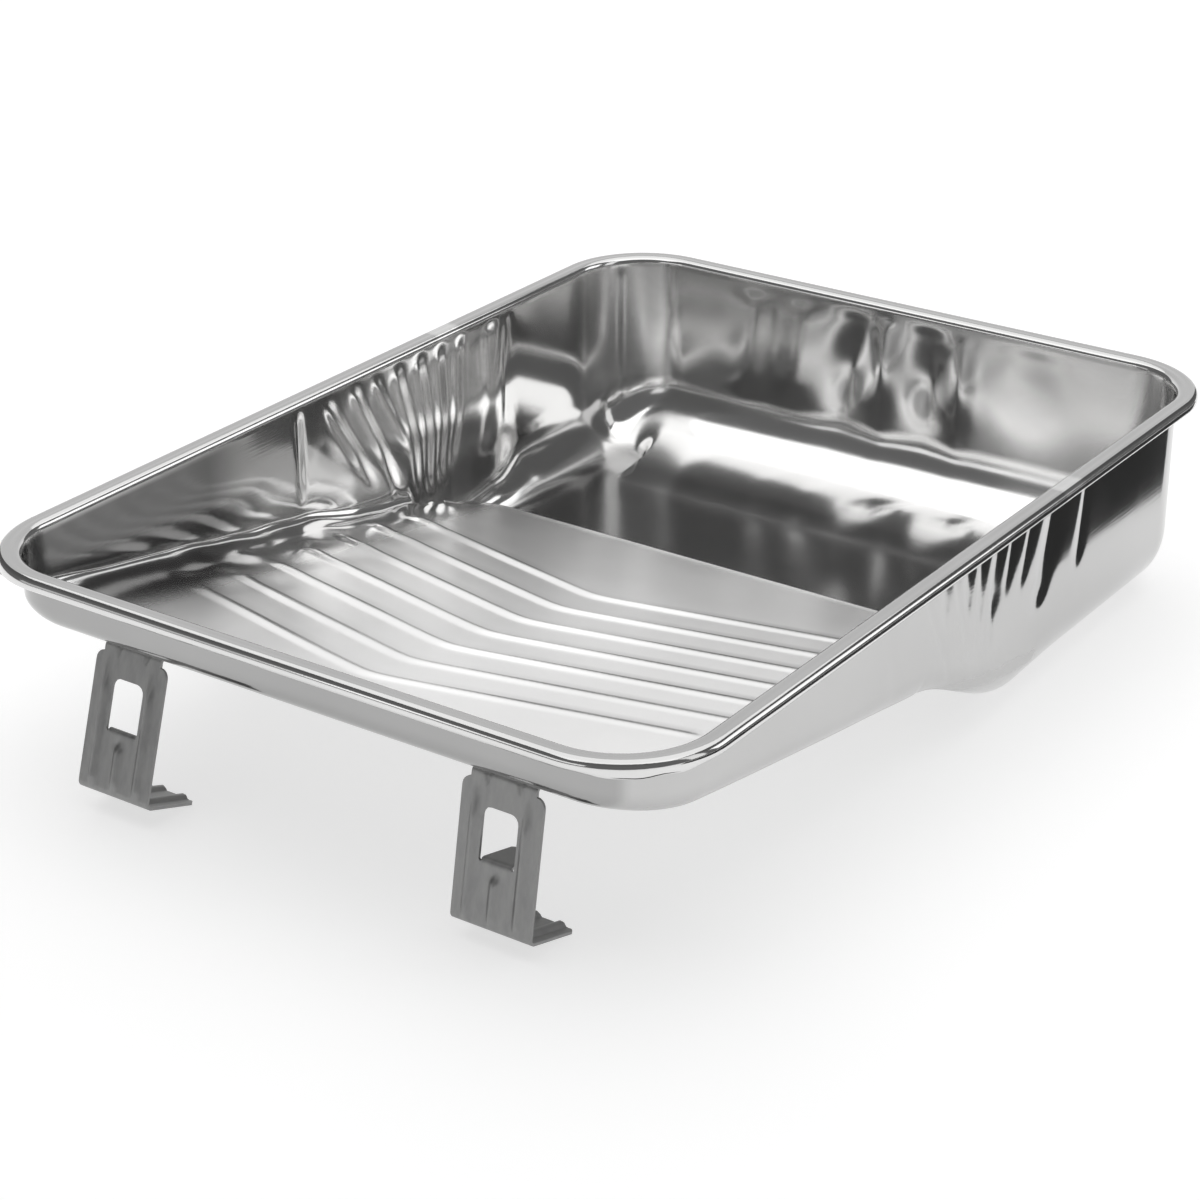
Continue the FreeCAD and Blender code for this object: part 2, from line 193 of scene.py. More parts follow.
def ramp_edge(x):
    """Where the ramp ends at the back; its two corners are rounded forward."""
    turned = np.clip(EDGE_CORNER_X - x, 0, EDGE_CORNER) / EDGE_CORNER
    left = EDGE_CORNER * (1 - np.sqrt(np.clip(1 - turned ** 2, 0, 1)))
    right = EDGE_SWEEP * smooth(x, BLEND_X, 131) ** 1.2
    return RAMP_END - left - right


def step_run(x):
    """How far the sheet takes to come down into the well; the step's right end is a long soft blend."""
    return STEP_RUN + STEP_RUN_RIGHT * smooth(x, BLEND_X, 128)


def ramp_height(x, y):
    """The ramp with its ribs, shallow hollows, uneven left end and slightly raised back edge."""
    hollows = window(y, -165, -70, 40) * np.sin((x + 0.8 * y) / 19.0) ** 2
    uneven = smooth(x, -78, -100) * window(y, -100, 30, 20)
    waves = np.sin((y - 0.4 * x) / 5.2) * np.sin((x + 0.5 * y) / 6.3 + 1)
    height = ramp_plane(y) + rib_height(x, y)
    height = height - 0.15 * window(x, -112, -30, 24) * hollows
    height = height + 0.35 * uneven * waves
    return height + 0.3 * bump(y - ramp_edge(x), -0.9, 0.9)


def well_height(x, y):
    """The well's floor, never lower than the surface that the tray stands on."""
    height = SHEET + 0.02 + 0.15 * (1 + np.sin(x / 31.0 + 1.2)) * window(y, 80, 150, 25)
    height = height + 0.12 * bump(y - 0.10 * x, 128, 12)
    lines = 0.06 * (1 + np.sin((y - 0.08 * x) / 1.9))
    return height + lines * window(y, 150, 172, 8) * smooth(x, -70, -20)


def floor_height(x, y):
    """The sheet's upper face over the trough, ramp and well together."""
    fall = smooth(y - ramp_edge(x), -STEP_LEAD, step_run(x))
    return ramp_height(x, y) * (1 - fall) + well_height(x, y) * fall


# ---------------------------------------------------------------- the walls

# the curve between wall and floor: places along y, and its size there
LEFT_COVE_WIDTH = ((-160, -144, -92, -55, -45, -9, 30, 60, 110), (14, 19, 15, 6.5, 6.5, 9, 8, 12, 20))
LEFT_COVE_HEIGHT = ((-160, -130, -60, 0, 40, 80, 130), (6, 4.5, 4, 5, 9, 15, 20))
RIGHT_COVE = ((-150, -40, 40, 90), (9, 11, 21, 23))
FRONT_COVE = 8.0
BACK_COVE_WIDTH = 50.0
BACK_COVE_HEIGHT = 27.0

LEFT_FLUTES = (
    # top y, foot y, spread, depth, top z, foot z
    (-27, -27, 1.6, 1.2, 72, 50),
    (-8, 6, 3.0, 0.8, 70, 42),
    (6, 22, 2.6, 1.0, 74, 34),
    (19, 30, 2.2, 0.7, 74, 50),
    (32, 38, 3.0, 1.2, 76, 28),
    (46, 45, 3.2, 1.5, 76, 28),
    (59, 53, 3.2, 1.4, 76, 30),
    (72, 61, 3.0, 1.2, 76, 34),
    (92, 84, 4.4, 1.2, 74, 34),
    (103, 100, 2.4, 0.5, 72, 42),
)
RIGHT_STREAKS = (
    # top y, foot y, spread, depth, top z, foot z
    (-52, -44, 4.5, 0.3, 74, 48),
    (-24, -8, 1.7, 0.35, 68, 38),
    (-13, -12, 3.0, 0.4, 76, 64),
    (-4, 5, 1.7, 0.35, 66, 40),
    (3, 4, 3.2, 0.5, 76, 60),
    (13, 13, 2.6, 0.5, 76, 54),
    (22, 20, 1.8, 0.3, 60, 38),
    (26, 24, 3.6, 0.6, 76, 54),
    (37, 33, 2.6, 0.5, 76, 58),
    (51, 45, 2.6, 0.45, 76, 56),
    (69, 59, 6.4, 1.1, 76, 42),
    (92, 88, 3.2, 0.5, 72, 48),
)
BACK_DENTS = (
    # x, lean, half width, z, half height, how far inward
    (-22, 0.10, 8.5, 50, 17, -3.4),
    (-4, 0, 5.5, 54, 20, 2.6),
    (14, 0, 8.5, 52, 17, -3.4),
    (31, 0, 5.0, 52, 18, 2.2),
    (62, 0, 14, 56, 16, -1.4),
)
BACK_TONGUES = (-68, -45)
CREASE_TURN = 37  # degrees round the back left corner from the left wall


def cove_size(y, nx, ny):
    """Width and height of the curve between wall and floor."""
    right = table(y, *RIGHT_COVE)
    side_width = np.where(nx > 0, table(y, *LEFT_COVE_WIDTH), right)
    side_height = np.where(nx > 0, table(y, *LEFT_COVE_HEIGHT), right)
    ahead_width = np.where(ny > 0, FRONT_COVE, BACK_COVE_WIDTH)
    ahead_height = np.where(ny > 0, FRONT_COVE, BACK_COVE_HEIGHT)
    ahead_share = np.where(ny < 0, np.clip(-ny, 0, 1) ** 3, ny ** 2)
    return side_width * nx ** 2 + ahead_width * ahead_share, side_height * nx ** 2 + ahead_height * ny ** 2


def flutes(rows, along, z):
    """Slanting grooves that run down a wall."""
    total = np.zeros_like(along)
    for top, foot, spread, depth, high, low in rows:
        share = np.clip((high - z) / (high - low), -0.3, 1.3)
        centre = top + (foot - top) * share
        total -= depth * bump(along, centre, spread) * window(z, low, high, 12)
    return total


def wall_dents(x, y, z, nx, ny):
    """How far the wall stands inward of its drawn line."""
    left = flutes(LEFT_FLUTES, y, z)
    left += 4.2 * window(y, 0, 84, 26) * smooth(z, 74, 40)
    left += 0.5 * window(y, -150, -60, 30) * bump(z, 60, 9)
    right = -flutes(RIGHT_STREAKS, y, z)
    right -= 1.6 * bump(y, 20, 34) * bump(z, 26, 13)
    right += 1.1 * bump(y, -40, 26) * bump(z, 34, 10)
    back = np.zeros_like(x)
    for place, lean, wide, high, tall, depth in BACK_DENTS:
        back += depth * bump(x, place + lean * (z - high), wide) * bump(z, high, tall)
    for place in BACK_TONGUES:
        back += 1.0 * bump(x, place + 0.12 * (z - 55), 8.5) * window(z, 40, 66, 16)
    side = np.where(nx > 0, left, right) * smooth(np.abs(nx), 0.85, 1)
    turn = np.degrees(np.arctan2(-ny, nx))
    crease = -0.55 * bump(turn, CREASE_TURN, 2.0) * window(z, 24, 74, 8)
    return side + back * smooth(-ny, 0.85, 1) + crease


# ---------------------------------------------------------------- the sheet as rings round the pan

CORNER_STEPS = 28
EDGE_STEP = 1.25
LIP_STEPS = 9
BEND_STEPS = 8
WALL_STEPS = 30
COVE_STEPS = 14
LIP_EDGE = (
    # share of the curl, rise along the sides, rise all round
    (1.15, 0.55, 0),
    (0.75, 0.12, 0),
    (0.32, 0, 0.35),
    (0.06, 0, 0.9),
)


def stations():
    """Places round the wall's upper edge with their inward directions, in order, anticlockwise."""
    centre_x = HALF_X - OVERHANG - WALL_CORNER
    centre_y = HALF_Y - OVERHANG - WALL_CORNER
    corners = (
        # corner's centre, start of its turn, length of the straight edge after it
        (centre_x, centre_y, 0, 2 * centre_x),
        (-centre_x, centre_y, 90, 2 * centre_y),
        (-centre_x, -centre_y, 180, 2 * centre_x),
        (centre_x, -centre_y, 270, 2 * centre_y),
    )
    places, inward = [], []
    for cx, cy, start, run in corners:
        for step in range(CORNER_STEPS):
            angle = math.radians(start + 90 * (step + 0.5) / CORNER_STEPS)
            direction = np.array([math.cos(angle), math.sin(angle)])
            places.append(np.array([cx, cy]) + WALL_CORNER * direction)
            inward.append(-direction)
        angle = math.radians(start + 90)
        direction = np.array([math.cos(angle), math.sin(angle)])
        first = np.array([cx, cy]) + WALL_CORNER * direction
        travel = np.array([-direction[1], direction[0]])
        steps = int(run / EDGE_STEP)
        for step in range(steps + 1):
            places.append(first + travel * run * step / steps)
            inward.append(-direction)
    return np.array(places), np.array(inward)


def pan_rings():
    """Loops of the sheet's drawn face, from the lip's raw edge over the rim and down to the floor."""
    base, inward = stations()
    nx, ny = inward.T
    rings = []

    def ring(offset, z):
        """One loop of the sheet, offset outward from the wall's line."""
        offset = np.broadcast_to(np.asarray(offset, float), len(base))
        height = np.broadcast_to(np.asarray(z, float), len(base))
        rings.append(np.column_stack([base - inward * offset[:, None], height]))

    along = lengths_along(base)
    in_corner = 4 * nx ** 2 * ny ** 2
    ragged = 0.35 * np.sin(along / 2.9) + 0.25 * np.sin(along / 1.7 + 2) + 0.2 * np.sin(along / 7.3)
    lip_drop = LIP_DROP + 0.7 * in_corner + in_corner * ragged
    curl = 1.1 * (1 - in_corner)
    for share, side_rise, rise in LIP_EDGE:
        ring(OVERHANG - curl * share, TOP - lip_drop + side_rise * (1 - in_corner) + rise)
    ring(OVERHANG, TOP - (lip_drop - 0.9 + LIP_BEND) / 2 + 0.05)
    for step in range(LIP_STEPS + 1):
        angle = math.radians(90 * step / LIP_STEPS)
        ring(FLANGE_OUT + LIP_BEND * math.cos(angle), TOP - LIP_BEND + LIP_BEND * math.sin(angle))
    for share in (0.75, 0.5, 0.25):
        ring(INNER_BEND + (FLANGE_OUT - INNER_BEND) * share, TOP - 0.12 * math.sin(math.pi * share))
    for step in range(BEND_STEPS + 1):
        angle = math.radians(90 * step / BEND_STEPS)
        ring(INNER_BEND - INNER_BEND * math.sin(angle), TOP - INNER_BEND + INNER_BEND * math.cos(angle))

    x, y = base.T
    cove_width, cove_height = cove_size(y, nx, ny)
    wall_foot = floor_height(x, y) + cove_height
    wall_head = np.full(len(base), TOP - INNER_BEND)
    for step in range(1, WALL_STEPS + 1):
        z = wall_head + (wall_foot - wall_head) * step / WALL_STEPS
        held = smooth(z, TOP - 3, TOP - 9)
        ring(-wall_dents(x, y, z, nx, ny) * held, z)
    for step in range(1, COVE_STEPS + 1):
        angle = math.radians(90 * step / COVE_STEPS)
        reach = cove_width * (1 - math.cos(angle))
        z = floor_height(*(base + inward * reach[:, None]).T) + cove_height * (1 - math.sin(angle))
        ring(-reach - wall_dents(x, y, z, nx, ny) * math.cos(angle), z)
    return np.array(rings)


# ---------------------------------------------------------------- the floor inside the last ring

RIB_LEVELS = (-5.4, -4.6, -3.8, -3, -2.2, -1.4, -0.7, 0, 0.5, 1.0, 1.5, 2.0, 2.6, 3.4)
FLAT_LEVELS = (-3, 1, 5)
COLUMN_STEP = 2.2
FINE_ROW = 0.7
COARSE_ROW = 1.5
FLOOR_MARGIN = 0.9


def floor_grid():
    """Points in columns that follow the ribs, close together where the sheet bends."""
    levels = []
    for crest, *_ in RIBS:
        levels += [crest + off for off in RIB_LEVELS]
        levels += [crest - RIB_PITCH / 2 + off for off in FLAT_LEVELS]
    levels = sorted(levels)
    points = []
    for x in np.arange(-132, 132.1, COLUMN_STEP):
        lift = float(chevron(x))
        edge = float(ramp_edge(x))
        run = float(step_run(x))
        top = levels[-1] + lift
        bottom = levels[0] + lift
        gap = edge - 3 - top
        gap_rows = max(1, int(gap / 4.0))
        points += [(x, level + lift) for level in levels]
        points += [(x, top + gap * row / (gap_rows + 1)) for row in range(1, gap_rows + 1)]
        points += [(x, edge + row) for row in np.arange(-2.4, run + 2, FINE_ROW if run < 12 else COARSE_ROW)]
        points += [(x, y) for y in np.arange(edge + run + 4, 195, 2.6)]
        points += [(x, y) for y in np.arange(bottom - 3.2, -195, -3.2)]
    return np.array(points)


def facing_up(triangle, vertices):
    """The triangle with its corners in the order that makes it face up."""
    first, second, third = (vertices[corner] for corner in triangle)
    turns_up = np.cross((second - first)[:2], (third - first)[:2]) > 0
    return triangle if turns_up else triangle[::-1]


def pan_sheet():
    """The pan's drawn face: its points and its faces."""
    rings = pan_rings()
    ring_count, count = rings.shape[:2]
    index = np.arange(ring_count * count).reshape(ring_count, count)
    above, below = index[:-1], index[1:]
    quads = np.stack([np.roll(above, -1, axis=1), np.roll(below, -1, axis=1), below, above], axis=-1)
    rim = rings[-1][:, :2]
    grid = floor_grid()
    inside, near = polygon_test(grid, rim)
    grid = grid[inside & (near > FLOOR_MARGIN)]
    flat, triangles = triangulate(np.vstack([rim, grid]), loop_edges(0, count))
    added = flat[count:]
    floor = np.column_stack([added, floor_height(*added.T)])
    vertices = np.vstack([rings.reshape(-1, 3), floor])
    shift = (ring_count - 1) * count
    triangles = [facing_up([shift + corner for corner in triangle], vertices) for triangle in triangles]
    return vertices, quads.reshape(-1, 4).tolist() + triangles


# ---------------------------------------------------------------- meshes

def mesh_object(name, points, faces):
    """A smooth-shaded mesh piece from millimetre points."""
    mesh = bpy.data.meshes.new(name)
    corners = [tuple(point) for point in np.asarray(points) * MM]
    mesh.from_pydata(corners, [], [tuple(int(i) for i in face) for face in faces])
    mesh.validate()
    mesh.update()
    piece = bpy.data.objects.new(name, mesh)
    bpy.context.scene.collection.objects.link(piece)
    mesh.polygons.foreach_set("use_smooth", [True] * len(mesh.polygons))
    return piece


def thicken(piece, thickness):
    """Closes an open sheet into a thin solid below its drawn face."""
    mesh = piece.data
    total = len(mesh.vertices)
    upper = np.empty(total * 3)
    mesh.vertices.foreach_get("co", upper)
    upper = upper.reshape(-1, 3)
    normals = np.empty(total * 3)
    mesh.vertex_normals.foreach_get("vector", normals)
    lower = upper - normals.reshape(-1, 3) * thickness * MM
    faces = [tuple(polygon.vertices) for polygon in mesh.polygons]
    used = {}
    for face in faces:
        for start, end in zip(face, face[1:] + face[:1]):
            used[(start, end)] = used.get((start, end), 0) + 1
    rims = [(start, end) for start, end in used if (end, start) not in used]
    faces += [tuple(total + corner for corner in reversed(face)) for face in faces]
    faces += [(end, start, total + start, total + end) for start, end in rims]
    mesh.clear_geometry()
    mesh.from_pydata(np.vstack([upper, lower]).tolist(), [], faces)
    mesh.update()
    mesh.polygons.foreach_set("use_smooth", [True] * len(mesh.polygons))
    mesh.set_sharp_from_angle(angle=math.radians(50))


# ---------------------------------------------------------------- the pan and its regions

# The outer face's lower tone is painted shade: the sheet is the same tinplate on both sides.
INNER_TONE = 0.76
OUTER_PAINTED_SHADE_TONE = 0.56


def rib_painted_shade(x, y):
    """Painted shade: where a dark line lies along the back of each rib."""
    behind = y - chevron(x)
    arm = 0.35 + 0.65 * smooth(np.abs(x - RIB_APEX_X), 14, 52)
    wide = 1.1 + 0.3 * smooth(x, 10, 80)
    rib_shade = np.zeros(len(x))
    for crest, left, right, strength in RIBS:
        along = smooth(x, left - 2, left + 6) * smooth(x, right + 2, right - 4)
        rib_shade = np.maximum(rib_shade, bump(behind - crest, 1.9, wide) * along * arm * strength)
    return rib_shade


def paint_regions(piece):
    """Stores how rough each region of the pan is, the painted light and shade that make some regions lighter
    or darker, and the painted shade lines behind the ribs.
    """
    mesh = piece.data
    place = np.empty(len(mesh.vertices) * 3)
    mesh.vertices.foreach_get("co", place)
    x, y, z = (place.reshape(-1, 3) / MM).T
    inner = np.arange(len(x)) < len(x) // 2
    under_rim = smooth(z, TOP - 1, TOP - 5)
    near_ramp = smooth(np.abs(z - ramp_plane(y)), 5.0, 2.2)
    ramp = near_ramp * smooth(y, RAMP_END + 3, RAMP_END) * smooth(x, -117, -95)
    well = smooth(z, 3.0, 1.2) * smooth(y, 60, 70) * smooth(np.abs(x), 128, 112)
    left_wall = smooth(x, -121, -126) * under_rim * smooth(z - ramp_plane(y), 3, 8)
    back_wall = smooth(y, 180, 185) * under_rim
    fluted = left_wall * window(y, 0, 88, 18) * smooth(z, 22, 34)
    front_left = left_wall * smooth(y, -40, -85)
    bright_back = back_wall * smooth(x, 34, 62)
    step_face = smooth(y, RAMP_END, RAMP_END + 2) * smooth(y, 74, 70)
    corner = smooth(x, -103, -112) * smooth(y, 150, 166) * inner * under_rim * smooth(z, 18, 30)
    rough = [ramp * smooth(y, -182, -174), 0.3 * well, 0.4 * fluted, 0.3 * back_wall, 0.55 * bright_back,
             0.6 * corner]
    # Painted light and shade: the outer face, the rim's top, the front face, the front end of the left wall
    # and the well are painted darker; the fluted wall, the back wall's right end, the step, the back left
    # corner and the ramp are painted lighter.
    light = np.where(inner, INNER_TONE, OUTER_PAINTED_SHADE_TONE)
    light -= 0.26 * inner * smooth(z, TOP - 1.2, TOP - 0.4)
    light -= 0.15 * ~inner * smooth(y, -181, -184)
    light += inner * (0.22 * fluted - 0.6 * front_left + 0.22 * bright_back - 0.36 * well + 0.2 * step_face)
    light += 0.22 * corner
    light += inner * 0.2 * ramp
    stored = {"rib_shade": rib_painted_shade(x, y) * near_ramp, "satin": np.maximum.reduce(rough),
              "painted_light_and_shade": np.clip(light, 0.2, 0.98)}
    for name, values in stored.items():
        mesh.attributes.new(name, "FLOAT", "POINT").data.foreach_set("value", values)


pan = mesh_object("pressed_pan", *pan_sheet())
thicken(pan, SHEET)
paint_regions(pan)


# ---------------------------------------------------------------- legs

LEG_THICK = 1.0
WELD_GAP = 0.3
SHOULDER_BEHIND_RIM = 14.7
SHOULDER_Z = 50.5
LEG_LENGTH = 44.0
STRAP_LENGTH = 26.0
FOOT_LENGTH = 25.0
NECK_BEND = 2.0
HEEL_BEND = 2.5
NECK_STEP = 3.0
NOTCH = 3.4
NOTCH_STEPS = 7
WINDOW_HALF = 6.6
WINDOW_TOP = 4.4
WINDOW_HEIGHT = 18.0
WINDOW_CORNER = 3.0
TAB_LENGTH = 15.2
TAB_ROOT = 5.7
TAB_TIP = 4.2
TAB_BEND = 2.4
TAB_STEPS = 12
BEND_TURNS = 8
BEAD_WIDTH = 2.3
BEAD_X = 9.6
LEG_BEAD = 1.5
FOOT_BEAD = 1.4
DART_X = 6.0
DART_DEPTH = 0.8


class Strip:
    """A strip's side view: a bent line in y and z, measured by the length along it."""

    def __init__(self, points):
        self.points = np.array(points)
        self.lengths = lengths_along(self.points)

    def place(self, s):
        return np.column_stack([np.interp(s, self.lengths, axis) for axis in self.points.T])

    def outward(self, s, step=0.6):
        way = self.place(s + step) - self.place(s - step)
        way /= np.linalg.norm(way, axis=1)[:, None]
        return np.column_stack([way[:, 1], -way[:, 0]])


def bend_points(corner, way_in, way_out, radius):
    """Points round a bend, its start and its end included."""
    opening = math.acos(float(np.clip(np.dot(-way_in, way_out), -1, 1)))
    start = corner - way_in * (radius / math.tan(opening / 2))
    sign = np.sign(way_in[0] * way_out[1] - way_in[1] * way_out[0])
    centre = start + np.array([-way_in[1], way_in[0]]) * sign * radius
    spoke = start - centre
    points = []
    for step in range(BEND_TURNS + 1):
        angle = (math.pi - opening) * step / BEND_TURNS
        ca, sa = math.cos(angle), math.sin(angle)
        points.append(centre + np.array([spoke[0] * ca - sign * spoke[1] * sa,
                                         sign * spoke[0] * sa + spoke[1] * ca]))
    return points


def refined(polygon, step):
    """The polygon with extra points, about step apart."""
    points = []
    for start, end in zip(polygon, polygon[1:] + polygon[:1]):
        start, end = np.array(start, float), np.array(end, float)
        pieces = max(1, int(np.linalg.norm(end - start) / step))
        points += [tuple(start + (end - start) * share / pieces) for share in range(pieces)]
    return points


def strip_outline(half, shoulder_at, total):
    """The flat strip's edge: a narrow neck, notched shoulders, and a foot with an uneven toe."""
    neck = half - NECK_STEP
    notch = []
    for step in range(1, NOTCH_STEPS):
        angle = math.radians(90 * step / NOTCH_STEPS)
        u = neck + NECK_STEP - NECK_STEP * (1 - math.sin(angle))
        notch.append((u, shoulder_at - NOTCH * math.cos(angle)))
    toe = [(half, total - 2.2), (half - 1.4, total - 0.4), (half - 4, total - 0.5), (half - 9, total),
           (2, total - 0.3), (-2, total), (-half + 8, total - 0.2), (-half + 3.6, total),
           (-half + 1.2, total - 0.5), (-half, total - 2.2)]
    outline = [(-neck, 0), (neck, 0), (neck, shoulder_at - NOTCH), *notch, (half, shoulder_at + 0.3), *toe]
    outline += [(-half, shoulder_at + 0.3), *((-u, s) for u, s in reversed(notch))]
    return refined(outline + [(-neck, shoulder_at - NOTCH)], 0.9)


def window_outline(top, foot):
    """The cut round the window, which leaves the tab joined at the window's foot."""
    radius = WINDOW_CORNER
    quarter = [math.radians(90 * step / 4) for step in range(5)]
    left = radius - WINDOW_HALF
    right = WINDOW_HALF - radius
    low = top + radius
    cut = [(-WINDOW_HALF, foot - 0.6)]
    cut += [(left - radius * math.cos(angle), low - radius * math.sin(angle)) for angle in quarter]
    cut += [(right + radius * math.sin(angle), low - radius * math.cos(angle)) for angle in quarter]
    side = [(WINDOW_HALF, foot - 0.6), (TAB_ROOT + 0.2, foot), (TAB_ROOT, foot - 0.4), (TAB_ROOT, foot - 1.4),
            (TAB_TIP, foot - TAB_LENGTH + 0.8), (TAB_TIP - 0.8, foot - TAB_LENGTH)]
    cut += side + [(-u, s) for u, s in reversed(side[1:])]
    return refined(cut, 0.7)


def build_leg(name, node, tilt, tab_drop):
    """One stamped strip: a strap under the ramp, neck, windowed leg, tab, heel and foot."""
    low, high = (np.array(corner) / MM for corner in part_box(node))
    middle = (low[0] + high[0]) / 2
    half = (high[0] - low[0]) / 2
    tilt = math.radians(tilt)
    lean = math.tan(tilt)

    # the side view
    shoulder = np.array([SHOULDER_BEHIND_RIM - HALF_Y, SHOULDER_Z])
    under = ramp_plane(shoulder[0]) - SHEET * math.cos(RAMP_TURN) - WELD_GAP / math.cos(RAMP_TURN)
    bend = shoulder + (under - shoulder[1]) / (lean * RAMP_SLOPE + 1) * np.array([lean, 1])
    down = np.array([-math.sin(tilt), -math.cos(tilt)])
    back = np.array([math.cos(RAMP_TURN), -math.sin(RAMP_TURN)])
    heel = shoulder + LEG_LENGTH * down
    drop = math.asin(heel[1] / FOOT_LENGTH)
    toe_way = np.array([math.cos(drop), -math.sin(drop)])
    neck_turn = bend_points(bend, -back, down, NECK_BEND)
    heel_turn = bend_points(heel, down, toe_way, HEEL_BEND)
    strip = Strip([bend + back * STRAP_LENGTH, *neck_turn, *heel_turn, heel + toe_way * FOOT_LENGTH])
    neck_end = strip.lengths[len(neck_turn)]
    heel_start = strip.lengths[len(neck_turn) + 1]
    total = strip.lengths[-1]
    shoulder_at = heel_start - float(np.linalg.norm(heel_turn[0] - shoulder))
    window_top = shoulder_at + WINDOW_TOP
    window_foot = window_top + WINDOW_HEIGHT

    # the flat sheet, by width u and length s
    outline = strip_outline(half, shoulder_at, total)
    cut = window_outline(window_top, window_foot)
    rows = np.concatenate([
        np.arange(0.5, neck_end - 6, 1.5), np.arange(neck_end - 6, shoulder_at, 0.4),
        np.arange(shoulder_at, heel_start - 1, 0.8), np.arange(heel_start - 1, heel_start + 5, 0.4),
        np.arange(heel_start + 5, total, 0.8)])
    grid = np.array([(u, s) for u in np.arange(-half + 0.35, half, 0.62) for s in rows])
    in_strip, near_edge = polygon_test(grid, outline)
    in_cut, near_cut = polygon_test(grid, cut)
    grid = grid[in_strip & ~in_cut & (near_edge > 0.3) & (near_cut > 0.3)]
    edges = loop_edges(0, len(outline)) + loop_edges(len(outline), len(cut))
    flat, triangles = triangulate(np.vstack([outline, cut, grid]), edges)
    centres = np.array([flat[triangle].mean(axis=0) for triangle in triangles])
    in_strip, _ = polygon_test(centres, outline)
    in_cut, _ = polygon_test(centres, cut)
    faces = [triangle[::-1] for triangle, kept in zip(triangles, in_strip & ~in_cut) if kept]
    u, s = flat.T

    # beads down the leg and under the foot, a dimple, the darts at the neck, and a slightly bowed foot
    leg_only = smooth(s, heel_start + 2, heel_start - 3)
    foot_only = smooth(s, heel_start + 4, heel_start + 9)
    edge_bead = smooth(s, shoulder_at - 2, shoulder_at + 10)
    middle_bead = smooth(s, window_foot + 1, window_foot + 6)
    lift = np.zeros(len(u))
    for centre, share in ((-BEAD_X, edge_bead), (BEAD_X, edge_bead), (0, middle_bead)):
        bead = np.cos(np.clip(np.abs(u - centre) / BEAD_WIDTH, 0, 1) * math.pi / 2) ** 2
        lift += bead * share * (LEG_BEAD * leg_only - FOOT_BEAD * foot_only)
    lift -= 0.6 * bump(np.hypot(u + 0.6, s - window_foot - 3.6), 0, 1.6)
    reach = np.clip(np.abs(s - neck_end + 1.5) / 5.0, 0, 1)
    wide = 2.0 * (1 - reach) + 0.01
    for side in (-1, 1):
        lift -= DART_DEPTH * (1 - reach) * np.clip(1 - np.abs(u - side * DART_X) / wide, 0, 1)
    lift -= 0.12 * (2.3 + np.sin(u * 0.31 + 1)) * smooth(s, heel_start, total)
    place = np.column_stack([middle + u, strip.place(s) + strip.outward(s) * lift[:, None]])

    # the tab, folded out at the window's foot
    root = strip.place(np.array([window_foot]))[0]
    fold = math.radians(-tab_drop)
    tab_way = np.array([math.cos(fold), math.sin(fold)])
    start_angle = math.atan2(-down[1], -down[0])
    turn = math.atan2(tab_way[1], tab_way[0]) - start_angle
    in_tab = (np.abs(u) <= TAB_ROOT + 0.1) & (s < window_foot - 0.3) & (s > window_foot - TAB_LENGTH - 0.2)
    for number in np.nonzero(in_tab & (s > window_top + 1))[0]:
        travelled = window_foot - s[number]
        bent = min(travelled, TAB_BEND)
        spot = root.copy()
        for step in range(TAB_STEPS):
            angle = start_angle + turn * ((step + 0.5) / TAB_STEPS * bent / TAB_BEND)
            spot = spot + np.array([math.cos(angle), math.sin(angle)]) * bent / TAB_STEPS
        place[number, 1:] = spot + tab_way * max(0, travelled - TAB_BEND)
    piece = mesh_object(name, place, faces)
    thicken(piece, LEG_THICK)
    return piece


left_leg = build_leg("stamped_left_leg", "left_leg", 17.7, 42)
right_leg = build_leg("stamped_right_leg", "right_leg", 10.3, 10)


# ---------------------------------------------------------------- materials

# socket numbers of a colour mix node
MIX_A, MIX_B, MIX_RESULT = 6, 7, 2


def new_material(name, colour, metallic, roughness):
    material = bpy.data.materials.new(name)
    material.use_nodes = True
    nodes = material.node_tree.nodes
    shader = nodes["Principled BSDF"]
    shader.inputs["Base Color"].default_value = (*colour, 1)
    shader.inputs["Metallic"].default_value = metallic
    shader.inputs["Roughness"].default_value = roughness
    return material, nodes, material.node_tree.links, shader


def noise(nodes, links, scale, detail, stretch=(1, 1, 1)):
    """A noise texture in the object's own coordinates."""
    coordinates = nodes.new("ShaderNodeTexCoord")
    mapping = nodes.new("ShaderNodeMapping")
    mapping.inputs["Scale"].default_value = stretch
    texture = nodes.new("ShaderNodeTexNoise")
    texture.inputs["Scale"].default_value = scale
    texture.inputs["Detail"].default_value = detail
    links.new(coordinates.outputs["Object"], mapping.inputs["Vector"])
    links.new(mapping.outputs["Vector"], texture.inputs["Vector"])
    return texture.outputs["Fac"]


def spread(nodes, links, source, low, high):
    """A number that follows the noise from low to high."""
    ramp = nodes.new("ShaderNodeMapRange")
    ramp.inputs["From Min"].default_value = 0.3
    ramp.inputs["From Max"].default_value = 0.7
    ramp.inputs["To Min"].default_value = low
    ramp.inputs["To Max"].default_value = high
    links.new(source, ramp.inputs["Value"])
    return ramp.outputs["Result"]


def clouded(nodes, links, source, dark, light):
    """A colour that follows the noise from dark to light."""
    ramp = nodes.new("ShaderNodeValToRGB")
    for element, position, colour in zip(ramp.color_ramp.elements, (0.3, 0.7), (dark, light)):
        element.position = position
        element.color = (*colour, 1)
    links.new(source, ramp.inputs["Fac"])
    return ramp.outputs["Color"]


def region(nodes, name):
    """A value stored on the mesh."""
    attribute = nodes.new("ShaderNodeAttribute")
    attribute.attribute_name = name
    return attribute.outputs


def relief(nodes, links, source, strength, shader):
    """Fine relief on the surface."""
    height = nodes.new("ShaderNodeBump")
    height.inputs["Strength"].default_value = strength
    height.inputs["Distance"].default_value = 0.0002
    links.new(source, height.inputs["Height"])
    links.new(height.outputs["Normal"], shader.inputs["Normal"])


